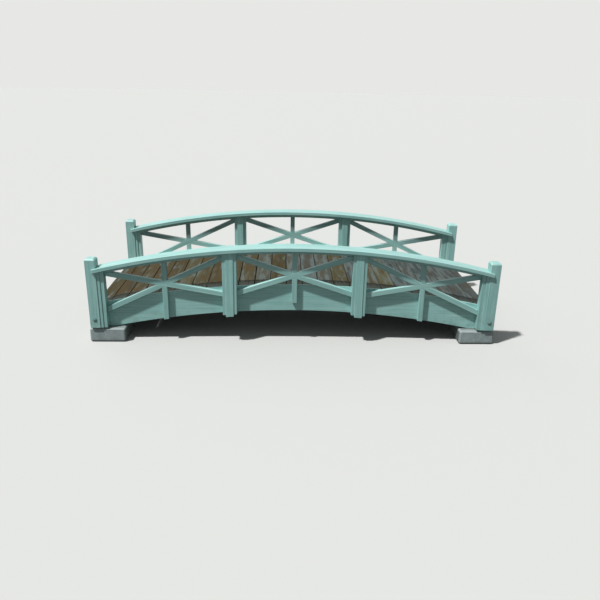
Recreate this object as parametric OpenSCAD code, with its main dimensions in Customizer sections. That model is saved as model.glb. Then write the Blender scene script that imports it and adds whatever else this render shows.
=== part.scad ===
// Arched timber garden footbridge: planked deck on three curved beams, with a low
// cross-braced railing on each side, standing on two sill blocks.
// Millimetres. X runs along the bridge, Y across it and Z up.
// The origin is at mid-span, on the level that the sill blocks stand on.

/* [Overall] */
// Length over the outer faces of the end posts
bridge_l = 3660; // [3300:10:4000]
// Width over the outer edges of the handrails
bridge_w = 1640; // [1300:10:2000]

/* [Sill blocks] */
// Height of a sill block
sill_h = 133; // [80:1:200]
// Size of a sill block along the bridge
sill_l = 325; // [260:1:400]
// Reach of a sill block beyond the end posts
sill_reach = 20; // [0:1:60]
// Setback of a sill block's ends from the handrails' outer edges
sill_set = 35; // [20:1:90]
// Rounding of a sill block's long edges
sill_round = 22; // [5:1:35]

/* [Arched beams] */
// Radius of a beam's underside
beam_r = 8000; // [7000:10:9500]
// Height of a beam's underside at mid-span above the sill blocks
beam_rise = 166; // [140:1:200]
// Depth of a beam
beam_d = 245; // [200:1:290]
// Thickness of a beam
beam_t = 44; // [34:1:60]
// Setback of an outer beam's face from the handrail's outer edge
beam_set = 102; // [92:1:112]
// Setback of a beam's ends from the end posts' outer faces
beam_end_set = 8; // [0:1:30]
// Thickness of a spreader between two beams
spreader_t = 44; // [30:1:60]
// Depth of a spreader
spreader_d = 140; // [80:1:180]
// Drop of a spreader's top below the seat of the planks
spreader_drop = 8; // [2:1:40]

/* [Deck] */
// Width of a deck plank
plank_w = 138; // [90:1:180]
// Thickness of a deck plank
plank_t = 28; // [20:1:40]
// Gap between two deck planks
plank_gap = 6; // [3:1:12]

/* [Handrails] */
// Radius of a handrail's top face
rail_r = 7350; // [6500:10:9000]
// Height of a handrail's top at mid-span above the sill blocks
rail_crown = 776; // [720:1:900]
// Width of a handrail
rail_w = 150; // [140:1:170]
// Thickness of a handrail
rail_t = 33; // [25:1:45]
// Bevel along a handrail's long edges
rail_bevel = 4; // [2:1:10]
// Setback of a handrail's ends from the end posts' outer faces
rail_end_set = 58; // [30:1:80]
// Height of the sub-rail that runs under a handrail from post to post
subrail_h = 34; // [20:1:45]

/* [End posts] */
// Width of an end post
post_w = 92; // [85:1:110]
// Depth of an end post across the bridge
post_d = 100; // [92:1:115]
// Setback of a post's face from the handrail's outer edge
post_set = 20; // [10:1:30]
// Height of an end post
post_h = 644; // [610:1:760]
// Clearance of the end posts' feet above the sill blocks
post_lift = 10; // [2:1:30]
// Bevel round the top of an end post
post_bevel = 14; // [4:1:25]
// Step from one face board of a post to the next
step = 6; // [3:1:12]
// Width of the strip next to an end post
strip_a_w = 27; // [18:1:40]
// Width of the strip that faces the first bay
strip_b_w = 34; // [26:1:55]

/* [Middle posts] */
// Distance from mid-span to the axis of a middle post
mid_x = 577; // [480:1:660]
// Width of a middle post
mid_w = 126; // [110:1:160]
// Width of the batten on a middle post's face
batten_w = 70; // [50:1:100]
// Drop of the batten's foot below the foot of its post
batten_drop = 18; // [0:1:30]
// Width of the inner post that stands on the beam behind a middle post
inner_w = 65; // [50:1:105]

/* [Braces and uprights] */
// Width of a brace's face
brace_w = 46; // [30:1:55]
// Thickness of the braces, uprights and sub-rails
brace_t = 39; // [28:1:45]
// Drop of a brace's foot below the top of the beam at a middle post
brace_foot = 58; // [40:1:80]
// Drop of a brace's foot below the top of the beam at an end post
brace_foot_end = 68; // [40:1:90]
// Drop of a brace's head below the handrail in the middle bay
brace_head_centre = 48; // [40:1:70]
// Drop of a brace's head below the handrail at the middle posts in a side bay
brace_head_side = 52; // [40:1:70]
// Drop of a brace's head below the handrail at an end post
brace_head_end = 36; // [20:1:60]
// Width of an upright's face
upright_w = 46; // [34:1:60]
// Height of the middle upright's foot above the beam's underside
upright_lift = 83; // [20:1:120]

/* [Fits] */
// Clearance between curved faces that meet
fit_gap = 0.3; // [0.1:0.1:0.5]

/* [Hidden] */
big_fn = 360;
small_fn = 48;
paint = "#7ba39c";
shade_paint = "#6f958f";
timber = "#7a6a58";
stone = "#7d8388";

half_l = bridge_l / 2;
half_w = bridge_w / 2;

// Arcs: each has its crown height and its radius, and its centre lies below mid-span.
beam_low_z = sill_h + beam_rise;
beam_top_z = beam_low_z + beam_d;
beam_top_r = beam_r + beam_d;
beam_centre_z = beam_low_z - beam_r;
seat_r = beam_top_r - plank_t;
deck_low_r = seat_r + fit_gap;
deck_top_r = deck_low_r + plank_t;
rail_top_z = sill_h + rail_crown;
rail_low_z = rail_top_z - rail_t;
rail_low_r = rail_r - rail_t;
rail_centre_z = rail_top_z - rail_r;
subrail_top_r = rail_low_r - fit_gap;
subrail_low_r = subrail_top_r - subrail_h;

// Planes across the bridge, for the side at +Y.
rail_out_y = half_w;
rail_in_y = half_w - rail_w;
post_y = half_w - post_set;
beam_y = half_w - beam_set;
post_back_y = post_y - post_d;
brace_y = beam_y + brace_t;
deck_y = post_back_y - fit_gap;

// Stations along the bridge.
sill_out_x = half_l + sill_reach;
sill_in_x = sill_out_x - sill_l;
beam_end_x = half_l - beam_end_set;
rail_end_x = half_l - rail_end_set;
post_in_x = half_l - post_w;
strip_a_x = post_in_x - strip_a_w;
bay_end_x = strip_a_x - strip_b_w;
mid_out_x = mid_x + mid_w / 2;
mid_in_x = mid_x - mid_w / 2;
post_foot_z = sill_h + post_lift;

// Planks: as many as fit on the arc between the end posts' outer faces.
plank_step = (plank_w + plank_gap) / deck_low_r * 180 / PI;
deck_half_angle = asin(half_l / deck_top_r);
plank_count = floor(2 * deck_half_angle / plank_step);
planks_side = floor(plank_count / 3);

// Height of an arc at a distance from mid-span.
function arc_z(x, crown, r) = crown - r + sqrt(r * r - x * x);
function beam_top_at(x) = arc_z(x, beam_top_z, beam_top_r);
function beam_low_at(x) = arc_z(x, beam_low_z, beam_r);
function rail_low_at(x) = arc_z(x, rail_low_z, rail_low_r);
function rail_seat(x) = rail_low_at(x) - fit_gap;
function subrail_top_at(x) = arc_z(x, rail_centre_z + subrail_top_r, subrail_top_r);
function subrail_low_at(x) = arc_z(x, rail_centre_z + subrail_low_r, subrail_low_r);
function subrail_seat(x) = subrail_low_at(x) - fit_gap;
function plank_seat(x) = arc_z(x, beam_centre_z + seat_r, seat_r);

// A bay is [x of its near post face, x of its far one], and a brace is the heights of its
// axis at those two faces.
centre_bay = [-mid_in_x, mid_in_x];
side_bay = [mid_out_x, bay_end_x];
centre_foot = beam_top_at(mid_in_x) - brace_foot;
centre_head = rail_low_at(mid_in_x) - brace_head_centre;
side_foot = beam_top_at(mid_out_x) - brace_foot;
side_head = rail_low_at(mid_out_x) - brace_head_side;
end_foot = beam_top_at(bay_end_x) - brace_foot_end;
end_head = rail_low_at(bay_end_x) - brace_head_end;
centre_rising = [centre_foot, centre_head];
centre_falling = [centre_head, centre_foot];
side_rising = [side_foot, end_head];
side_falling = [side_head, end_foot];

function slope(bay, brace) = (brace[1] - brace[0]) / (bay[1] - bay[0]);
function half_height(bay, brace) = brace_w / 2 * sqrt(1 + pow(slope(bay, brace), 2));
function crossing_x(bay, a, b) = bay[0] + (b[0] - a[0]) / (slope(bay, a) - slope(bay, b));

// Places its children on the front side, which is the side at -Y.
module front() mirror([0, 1, 0]) children();

// Places its children at the left end, which is the end at -X.
module left() mirror([1, 0, 0]) children();

// Extrudes an outline in X and Z from one plane across the bridge to another.
module slab(y0, y1)
    translate([0, y1, 0]) rotate([90, 0, 0])
        linear_extrude(height = y1 - y0) children();

// Disc under an arc, seen from the side.
module below_arc(centre_z, r)
    translate([0, centre_z]) circle(r = r, $fn = big_fn);

// Outline between two stations, with a straight foot and a straight head: [left, right].
module pale(x0, x1, foot, head)
    polygon([[x0, foot[0]], [x1, foot[1]], [x1, head[1]], [x0, head[0]]]);

// Rectangle in X and Z between two corners.
module box2(x0, x1, z0, z1)
    translate([x0, z0]) square([x1 - x0, z1 - z0]);

// One sill block, at the right-hand end.
module sill_outline() {
    inset = sill_round;
    flat_l = sill_l - 2 * inset;
    translate([sill_in_x, 0]) {
        translate([inset, 0]) square([flat_l, sill_h]);
        translate([0, inset]) square([sill_l, sill_h - 2 * inset]);
        for (x = [inset, sill_l - inset])
            for (z = [inset, sill_h - inset])
                translate([x, z]) circle(r = inset, $fn = small_fn);
    }
}

module sill_right()
    color(stone)
        slab(-half_w + sill_set, half_w - sill_set) sill_outline();

module sill_left() left() sill_right();

// Beam with its top on an arc, cut level where it sits on the sill blocks.
module beam_outline(top_r)
    intersection() {
        difference() {
            below_arc(beam_centre_z, top_r);
            below_arc(beam_centre_z, beam_r);
        }
        box2(-beam_end_x, beam_end_x, sill_h, beam_top_z + beam_d);
    }

// Outer beam, with a seat cut along its inner top edge for the ends of the planks.
module beam_back()
    color(paint)
        difference() {
            slab(beam_y - beam_t, beam_y) beam_outline(beam_top_r);
            slab(0, post_back_y)
                difference() {
                    below_arc(beam_centre_z, beam_top_r + plank_t);
                    below_arc(beam_centre_z, seat_r);
                }
        }

module beam_front() front() beam_back();

module beam_middle()
    color(timber) slab(-beam_t / 2, beam_t / 2) beam_outline(seat_r);

// Spreaders stand between the beams, under the middle posts and over the sill blocks.
module spreaders()
    color(timber)
        for (x = [mid_x, post_in_x])
            for (end = [-1, 1])
                for (side = [-1, 1])
                    spreader(end * x, side);

module spreader(x, side) {
    reach = beam_y - beam_t - beam_t / 2;
    top = plank_seat(abs(x) + spreader_t / 2) - spreader_drop;
    low = max(top - spreader_d, sill_h);
    y0 = side > 0 ? beam_t / 2 : -beam_t / 2 - reach;
    translate([x - spreader_t / 2, y0, low]) cube([spreader_t, reach, top - low]);
}

// Deck planks lie across the beams, level with the outer beams' tops, each one turned to
// the arc.
module planks(first, last)
    color(timber)
        for (i = [first : last])
            translate([0, 0, beam_centre_z])
                rotate([0, (i - (plank_count - 1) / 2) * plank_step, 0])
                    translate([-plank_w / 2, -deck_y, deck_low_r])
                        cube([plank_w, 2 * deck_y, plank_t]);

module deck_left() planks(0, planks_side - 1);
module deck_middle() planks(planks_side, plank_count - planks_side - 1);
module deck_right() planks(plank_count - planks_side, plank_count - 1);

// Handrail: a wide flat board with bevelled edges, swept round the arc and notched round
// the end posts, so that it laps over their faces.
module rail_profile() {
    bevel = rail_bevel;
    polygon([
        [rail_low_r, -rail_out_y + bevel], [rail_low_r + bevel, -rail_out_y],
        [rail_r - bevel, -rail_out_y], [rail_r, -rail_out_y + bevel],
        [rail_r, -rail_in_y - bevel], [rail_r - bevel, -rail_in_y],
        [rail_low_r + bevel, -rail_in_y], [rail_low_r, -rail_in_y - bevel]
    ]);
}

module rail_ring()
    translate([0, 0, rail_centre_z]) rotate([90, 0, 0])
        rotate_extrude($fn = big_fn) rail_profile();

module handrail_back()
    color(paint)
        difference() {
            intersection() {
                rail_ring();
                slab(0, bridge_w) box2(-rail_end_x, rail_end_x, 0, 2 * rail_top_z);
            }
            for (end = [0, 1])
                mirror([end, 0, 0])
                    slab(post_back_y - fit_gap, post_y + fit_gap)
                        box2(post_in_x - fit_gap, half_l + post_w, 0, 2 * rail_top_z);
        }

module handrail_front() front() handrail_back();

// Sub-rail: a bar under the handrail in the plane of the braces, bent to its curve in
// short straight steps from one post to the next.
module subrail(x0, x1) {
    steps = 14;
    stations = [for (i = [0 : steps]) x0 + (x1 - x0) * i / steps];
    slab(beam_y, brace_y)
        polygon(concat(
            [for (x = stations) [x, subrail_top_at(x)]],
            [for (i = [steps : -1 : 0]) [stations[i], subrail_low_at(stations[i])]]
        ));
}

module subrails_back()
    color(paint) {
        subrail(-bay_end_x, -mid_out_x);
        subrail(-mid_in_x, mid_in_x);
        subrail(mid_out_x, bay_end_x);
    }

module subrails_front() front() subrails_back();

// Room that a post leaves for the beam behind its face.
module beam_room(x0, x1)
    slab(0, beam_y)
        pale(x0 - fit_gap, x1 + fit_gap, [0, 0],
            [beam_top_at(x0 - fit_gap) + fit_gap, beam_top_at(x1 + fit_gap) + fit_gap]);

// End post, bevelled round its top and notched over the beam.
module end_post_back_right() {
    top = post_foot_z + post_h;
    color(paint)
        difference() {
            intersection() {
                slab(post_back_y, post_y)
                    polygon([
                        [post_in_x, post_foot_z], [half_l, post_foot_z],
                        [half_l, top - post_bevel], [half_l - post_bevel, top],
                        [post_in_x + post_bevel, top], [post_in_x, top - post_bevel]
                    ]);
                translate([post_in_x, 0, 0]) rotate([90, 0, 90])
                    linear_extrude(height = post_w)
                        polygon([
                            [post_back_y, 0], [post_y, 0],
                            [post_y, top - post_bevel], [post_y - post_bevel, top],
                            [post_back_y + post_bevel, top], [post_back_y, top - post_bevel]
                        ]);
            }
            beam_room(post_in_x, half_l);
        }
}

module end_post_back_left() left() end_post_back_right();
module end_post_front_right() front() end_post_back_right();
module end_post_front_left() left() front() end_post_back_right();

// Copies its children to both sides and both ends.
module four_ways()
    for (end = [0, 1])
        for (side = [0, 1])
            mirror([end, 0, 0]) mirror([0, side, 0]) children();

// Strip beside an end post, stepped back on both faces, from the post's foot up to the
// handrail.
module post_strip(x0, x1, inset)
    difference() {
        slab(post_back_y + inset, post_y - inset)
            pale(x0, x1, [post_foot_z, post_foot_z], [rail_seat(x0), rail_seat(x1)]);
        beam_room(x0, x1);
    }

module end_post_strips()
    color(paint) four_ways() post_strip(strip_a_x, post_in_x, step);

module bay_strips()
    color(paint) four_ways() post_strip(bay_end_x, strip_a_x, 2 * step);

// Middle post: a board on the beam's face, a batten on it and an inner post on the beam.
module mid_outline(w, drop) {
    x0 = mid_x - w / 2;
    x1 = mid_x + w / 2;
    pale(x0, x1, [beam_low_at(x0) - drop, beam_low_at(x1) - drop], [rail_seat(x0), rail_seat(x1)]);
}

module mid_post_back_right()
    color(paint) slab(beam_y, post_y - step) mid_outline(mid_w, 0);

module mid_post_back_left() left() mid_post_back_right();
module mid_post_front_right() front() mid_post_back_right();
module mid_post_front_left() left() front() mid_post_back_right();

module mid_post_battens()
    color(paint) four_ways() slab(post_y - step, post_y) mid_outline(batten_w, batten_drop);

module inner_posts()
    color(paint)
        four_ways()
            difference() {
                slab(post_back_y, beam_y) mid_outline(inner_w, 0);
                beam_room(mid_x - inner_w / 2, mid_x + inner_w / 2);
            }

// Half-plane under the sub-rail's underside, drawn straight from one station to another.
module under_subrail(x0, x1) {
    rise = (subrail_seat(x1) - subrail_seat(x0)) / (x1 - x0);
    pale(-half_l, half_l, [0, 0],
        [subrail_seat(x0) - rise * (x0 + half_l), subrail_seat(x0) + rise * (half_l - x0)]);
}

// Brace: a straight bar between two post faces, with its head cut to the sub-rail.
module brace_outline(bay, brace) {
    h = half_height(bay, brace);
    intersection() {
        pale(bay[0], bay[1], [brace[0] - h, brace[1] - h], [brace[0] + h, brace[1] + h]);
        under_subrail(bay[0], bay[0] + 2 * brace_w);
        under_subrail(bay[1] - 2 * brace_w, bay[1]);
    }
}

// The two braces of a bay are halved into each other: the rising one keeps its front
// half at the crossing, and the falling one its back half.
module rising_brace(bay, rising, falling)
    color(shade_paint)
        difference() {
            slab(beam_y, brace_y) brace_outline(bay, rising);
            slab(beam_y - brace_t, beam_y + brace_t / 2) brace_outline(bay, falling);
        }

module falling_brace(bay, rising, falling)
    color(paint)
        difference() {
            slab(beam_y, brace_y) brace_outline(bay, falling);
            slab(beam_y + brace_t / 2, brace_y + brace_t) brace_outline(bay, rising);
        }

// Upright: two lengths on the axis of the crossing, mitred against the braces.
module uprights(bay, rising, falling, lift) {
    x0 = crossing_x(bay, rising, falling) - upright_w / 2;
    x1 = x0 + upright_w;
    color(paint)
        slab(beam_y, brace_y)
            difference() {
                pale(x0, x1, [beam_low_at(x0) + lift, beam_low_at(x1) + lift],
                    [subrail_seat(x0), subrail_seat(x1)]);
                brace_outline(bay, rising);
                brace_outline(bay, falling);
            }
}

module rising_brace_back_right() rising_brace(side_bay, side_rising, side_falling);
module falling_brace_back_right() falling_brace(side_bay, side_rising, side_falling);
module uprights_back_right() uprights(side_bay, side_rising, side_falling, 0);
module rising_brace_back_middle() rising_brace(centre_bay, centre_rising, centre_falling);
module falling_brace_back_middle() falling_brace(centre_bay, centre_rising, centre_falling);
module uprights_back_middle() uprights(centre_bay, centre_rising, centre_falling, upright_lift);
module rising_brace_back_left() left() rising_brace_back_right();
module falling_brace_back_left() left() falling_brace_back_right();
module uprights_back_left() left() uprights_back_right();
module rising_brace_front_left() left() front() rising_brace_back_right();
module falling_brace_front_left() left() front() falling_brace_back_right();
module uprights_front_left() left() front() uprights_back_right();
module rising_brace_front_middle() front() rising_brace_back_middle();
module falling_brace_front_middle() front() falling_brace_back_middle();
module uprights_front_middle() front() uprights_back_middle();
module rising_brace_front_right() front() rising_brace_back_right();
module falling_brace_front_right() front() falling_brace_back_right();
module uprights_front_right() front() uprights_back_right();

sill_left();
sill_right();
beam_front();
beam_middle();
beam_back();
spreaders();
deck_left();
deck_middle();
deck_right();
handrail_front();
handrail_back();
subrails_front();
subrails_back();
end_post_front_left();
end_post_front_right();
end_post_back_left();
end_post_back_right();
end_post_strips();
bay_strips();
mid_post_front_left();
mid_post_front_right();
mid_post_back_left();
mid_post_back_right();
mid_post_battens();
inner_posts();
rising_brace_front_left();
falling_brace_front_left();
rising_brace_front_middle();
falling_brace_front_middle();
rising_brace_front_right();
falling_brace_front_right();
rising_brace_back_left();
falling_brace_back_left();
rising_brace_back_middle();
falling_brace_back_middle();
rising_brace_back_right();
falling_brace_back_right();
uprights_front_left();
uprights_front_middle();
uprights_front_right();
uprights_back_left();
uprights_back_middle();
uprights_back_right();
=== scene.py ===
"""Looks of an arched timber garden footbridge, laid out as a Blender add-on.

Every piece is worked out in metres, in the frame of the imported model: X along the bridge,
Y across it and Z up, with the origin at mid-span on the level under the sill blocks.
"""

import math
import zlib

import bmesh
import bpy
import numpy as np
from bpy.props import FloatProperty, FloatVectorProperty, IntProperty, PointerProperty
from mathutils import Matrix, Vector
from mathutils.kdtree import KDTree


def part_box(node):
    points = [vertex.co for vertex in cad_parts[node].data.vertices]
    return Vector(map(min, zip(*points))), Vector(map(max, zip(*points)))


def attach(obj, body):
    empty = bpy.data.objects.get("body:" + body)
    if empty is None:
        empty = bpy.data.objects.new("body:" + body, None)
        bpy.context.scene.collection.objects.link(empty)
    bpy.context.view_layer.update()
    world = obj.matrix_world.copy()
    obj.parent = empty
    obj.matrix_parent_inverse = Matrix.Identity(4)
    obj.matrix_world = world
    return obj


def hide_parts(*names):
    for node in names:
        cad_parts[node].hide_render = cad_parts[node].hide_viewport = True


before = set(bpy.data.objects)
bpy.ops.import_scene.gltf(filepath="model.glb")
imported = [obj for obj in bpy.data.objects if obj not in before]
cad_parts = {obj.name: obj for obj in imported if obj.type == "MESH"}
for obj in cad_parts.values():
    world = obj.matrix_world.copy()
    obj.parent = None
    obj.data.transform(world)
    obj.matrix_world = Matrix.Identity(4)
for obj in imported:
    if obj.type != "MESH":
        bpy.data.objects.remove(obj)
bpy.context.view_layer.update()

bl_info = {
    "name": "Arched garden footbridge",
    "version": (1, 0, 0),
    "blender": (4, 5, 0),
    "location": "3D View > Sidebar > Footbridge",
    "description": "Builds a footbridge's painted timber, deck, sills and fixings",
    "category": "Add Mesh",
}

SIDES = ("front", "back")
ENDS = ("left", "right")
BAYS = ("left", "middle", "right")
UPRIGHT = (0, 0, 1)

# Sizes in metres. Those that a user would change are properties, further down.
CLEARANCE = 0.0003  # that the solids leave between pieces
LEAST_ROUND = 0.0002  # of a corner, where a bar draws in towards its end
INNER_ROUND = 0.3  # of an inner corner, as a share of an outer one's
POST_EASE, STRIP_EASE = 1.6, 0.8  # of end posts and of thinner uprights, in edge_rounds
SILL_ROUND, SILL_END_ROUND = 0.022, 0.020
PLANK_END_ROUND, RAIL_END_ROUND, SUBRAIL_END_ROUND = 0.003, 0.003, 0.001
RAIL_PITH = 0.08  # from a handrail's top up to its pith line
ROOM = 0.3  # that a notch's cut reaches past the rail
PLANK_TRIM = 0.0012  # that a plank is wider or narrower at a side
PLANK_SHORT = 0.0025  # that a plank's end falls short of the longest
PLANK_TWIST = 0.0009  # that a plank's corners rise at one end and fall at the other
PLANK_LIFT = (-0.0004, 0.0008)  # that a plank's top is low or high
PLANK_CUP = (-0.3, 1.0)  # shares of the property plank_cup
TONE_MEAN, TONE_SWING, TONE_STRAY = 0.53, 0.36, 0.25  # of the planks' tones, 0 to 1
DECK_ANGLE, TONE_TURN = 0.22, 1.2  # radians to the last planks, and of the sine there
SCREW_ASIDE = 0.042  # from a plank's middle line to its screws
SCREW_ROW = 0.688  # from the bridge's middle line to an outer row of screws
SCREW_STRAY = (0.003, 0.004)  # that a screw is off its place, across and along the plank

# Round heads: shares of the head's radius, with heights above the face under the head.
SCREW_PROFILE = ((1.0, -0.0015), (1.0, 0.0003), (0.8, 0.0009), (0.45, 0.0010),
                 (0.38, -0.0004))
WASHER_PROFILE = ((1.45, -0.001), (1.45, 0.0018), (1.40, 0.0024), (1.02, 0.0024))
DOME_FOOT, DOME_RISE, DOME_RINGS, BOLT_SIDES = 0.0030, 0.0058, 7, 28

# Stations along each kind of bar, enough for it to follow its arc or its waviness.
SILL_STATIONS, BEAM_STATIONS, PLANK_STATIONS = 90, 181, 49
RAIL_STATIONS, SUBRAIL_STATIONS = 221, 61
STONE_WAVES = (9, 14, 23, 41)  # radians a metre

# Easing of the copies of CAD nodes.
MERGE_DISTANCE = 2e-5
FLAT_ANGLE, CORNER_ANGLE = math.radians(0.4), math.radians(20)
EASED_SEGMENTS = 3

# The stage. The camera's angles are in radians and its focal length in pixels.
FLOOR_RADIUS, FLOOR_SIDES, FLOOR_DROP = 90, 96, 0.0005
LAMPS = (  # name, strength, spread in degrees, and where the light comes from
    ("key", 4.3, 3, (-0.425, -0.274, 0.863)),
    ("fill", 0.35, 40, (-0.55, 0.62, 0.56)),
)
SOFT_LIGHT = (0.240, 0.262, 0.270, 1)  # linear, from all round
CAMERA_PLACE = (-0.1133, -5.9891, 2.3226)
CAMERA_PITCH, CAMERA_YAW, CAMERA_ROLL = 0.34977, -0.03148, 0.02005
FOCAL_PIXELS, IMAGE_PIXELS, SENSOR_WIDTH = 618.85, 600, 36.0


# ---------------------------------------------------------------- colours and shader nodes

TIMES = {"operation": "MULTIPLY"}
TIMES_PLUS = {"operation": "MULTIPLY_ADD"}
SMOOTH = {"interpolation_type": "SMOOTHSTEP"}
COLOURS = {"data_type": "RGBA"}
SHARE, UNDER, OVER, MIXED = 0, 6, 7, 2  # a colour Mix node's inputs, and its output


def linear(hex_code):
    """Turns an sRGB hex colour into linear red, green, blue and alpha.

    Each channel c is c / 12.92 up to 0.04045, and ((c + 0.055) / 1.055) ** 2.4 above it.
    """
    c = np.array([int(hex_code[i : i + 2], 16) for i in (1, 3, 5)]) / 255
    c = np.where(c <= 0.04045, c / 12.92, ((c + 0.055) / 1.055) ** 2.4)
    return (*c.tolist(), 1.0)


def add(tree, kind, inputs=(), stops=None, **settings):
    """Adds one shader node with its settings and links, and returns its outputs.

    inputs holds values, or sockets to link, in the order of the node's own inputs or by
    their names or numbers. stops are the (place, colour) pairs of a colour ramp.
    """
    made = tree.nodes.new("ShaderNode" + kind)
    for name, value in settings.items():
        setattr(made, name, value)
    for key, value in inputs.items() if isinstance(inputs, dict) else enumerate(inputs):
        if isinstance(value, bpy.types.NodeSocket):
            tree.links.new(value, made.inputs[key])
        else:
            made.inputs[key].default_value = value
    if stops:
        ramp = made.color_ramp.elements
        while len(ramp) < len(stops):
            ramp.new(0.5)
        for element, (place, colour) in zip(ramp, stops):
            element.position, element.color = place, colour
    return made.outputs


def layered(tree, colour, layers):
    """Lays colours over a colour, each where a pattern passes from one value to another.

    A layer holds its pattern, the pattern's values where it starts and where it is full,
    its shares at those two, its own colour, and what else its share is multiplied by.
    """
    for pattern, start, full, least, most, over, *factors in layers:
        share = add(tree, "MapRange", (pattern, start, full, least, most), **SMOOTH)[0]
        for factor in factors:
            share = add(tree, "Math", (share, factor), **TIMES)[0]
        colour = add(tree, "Mix", {SHARE: share, UNDER: colour, OVER: over},
                     **COLOURS)[MIXED]
    return colour


def seen_or_mirrored(tree):
    """1 where the camera, a mirroring face or a clear face looks at the spot, else 0."""
    path = add(tree, "LightPath")
    seen = path["Is Camera Ray"]
    for ray in ("Is Glossy Ray", "Is Transmission Ray"):
        seen = add(tree, "Math", (seen, path[ray]), operation="MAXIMUM")[0]
    return seen


# ---------------------------------------------------------------------------- materials
#
# Each function adds a finish's nodes and returns what its shader's sockets hold. It reads
# these attributes: grain holds metres along the board and across it from its pith line,
# tone tells boards apart from 0 to 1, edge is 1 on an eased edge, and sheltered is 1 on the
# braces and uprights, which take a painted shade under the rails.


def satin_paint(tree, colours):
    """Satin blue-green exterior paint, brushed on planed softwood.

    The film hides the colour of the wood but not its grain, which shows as faint raised
    lines along each board, with brush marks, chalked patches, worn edges, soil low down
    and painted shade on the braces under the rails.
    """
    grain = add(tree, "Attribute", attribute_name="grain")["Vector"]
    tone, edge, takes_painted_shade = (add(tree, "Attribute", attribute_name=name)["Fac"]
                             for name in ("tone", "edge", "takes_painted_shade"))
    spot = add(tree, "TexCoord")["Object"]
    part = add(tree, "SeparateXYZ", (spot,))
    marks, patches, lines = (
        add(tree, "TexNoise", {
            "Vector": add(tree, "VectorMath", (grain, per_metre), **TIMES)[0],
            "Scale": 1.0, "Detail": detail, "Roughness": roughness})["Fac"]
        for per_metre, detail, roughness in (
            # Brush marks are 15 mm wide and 600 mm long.
            ((1.6, 65, 65), 2.0, 0.5),
            # Chalked patches are 100 to 200 mm across.
            ((5, 9, 9), 4.0, 0.6),
            # The wood's grain lines are 1 mm wide; they are drawn 4 mm wide, to show.
            ((3, 250, 250), 2.0, 0.5)))
    # Blots of splashed soil are 70 mm wide.
    blots = add(tree, "TexNoise", {"Vector": spot, "Scale": 14.0, "Detail": 4.0,
                                   "Roughness": 0.6})["Fac"]
    # The depth under a rail is its inner radius less the distance from its centre.
    centre, _, inner = arc_of(cad_points("handrail_front"))
    arm = add(tree, "CombineXYZ", (part["X"], 0.0, part["Z"]))[0]
    arm = add(tree, "VectorMath", (arm, (0, 0, centre)), operation="DISTANCE")["Value"]
    depth = add(tree, "Math", (inner, arm), operation="SUBTRACT")[0]
    # 1 on a face that looks away from the deck, and -1 on one that looks towards it.
    facing = add(tree, "SeparateXYZ", (add(tree, "NewGeometry")["Normal"],))["Y"]
    side = add(tree, "Math", (part["Y"],), operation="SIGN")[0]
    outward = add(tree, "Math", (facing, side), **TIMES)[0]

    low, inward_painted_shade, gloss = (
        add(tree, "MapRange", span, **SMOOTH)[0] for span in (
            (part["Z"], 0.42, 0.10, 0, 0.3), (outward, 0.3, -0.7, 0.25, 1.0),
            (patches, 0.3, 0.8, 0.40, 0.58)))
    paint = add(tree, "ValToRGB", (marks,), stops=[
        (0.36, colours.paint_shade), (0.5, colours.paint), (0.72, colours.paint_chalk)])[0]
    paint = layered(tree, paint, (
        (patches, 0.46, 0.76, 0, 0.5, colours.paint_chalk),
        (patches, 0.5, 0.28, 0, 0.6, colours.paint_shade),
        (lines, 0.42, 0.3, 0, 0.35, linear("#5d8583")),
        # The film is worn thin on the edges.
        (patches, 0.42, 0.62, 0.05, 0.35, linear("#b4d2cc"), edge),
        # Splashed soil fades out 300 mm above the sills.
        (blots, 0.42, 0.7, 0, 1, linear("#5f6350"), low),
        # Painted shade greys the braces for 190 mm under the rails, most on the faces towards
        # the deck, as if the rails' shadow reached further down.
        (depth, 0.205, 0.175, 0, 0.38, linear("#504e53"), inward_painted_shade, takes_painted_shade)))
    # Boards differ by 14 per cent in brightness.
    value = add(tree, "Math", (tone, 0.14, 0.92), **TIMES_PLUS)[0]
    paint = add(tree, "HueSaturation", {"Value": value, "Color": paint})[0]

    relief = add(tree, "Math", (lines, 0.5), **TIMES)[0]
    relief = add(tree, "Math", (marks, 0.6, relief), **TIMES_PLUS)[0]
    bump = add(tree, "Bump", {"Height": relief, "Strength": 0.5, "Distance": 0.0008})[0]
    return {"Base Color": paint, "Roughness": gloss, "Normal": bump, "IOR": 1.5}


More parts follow.
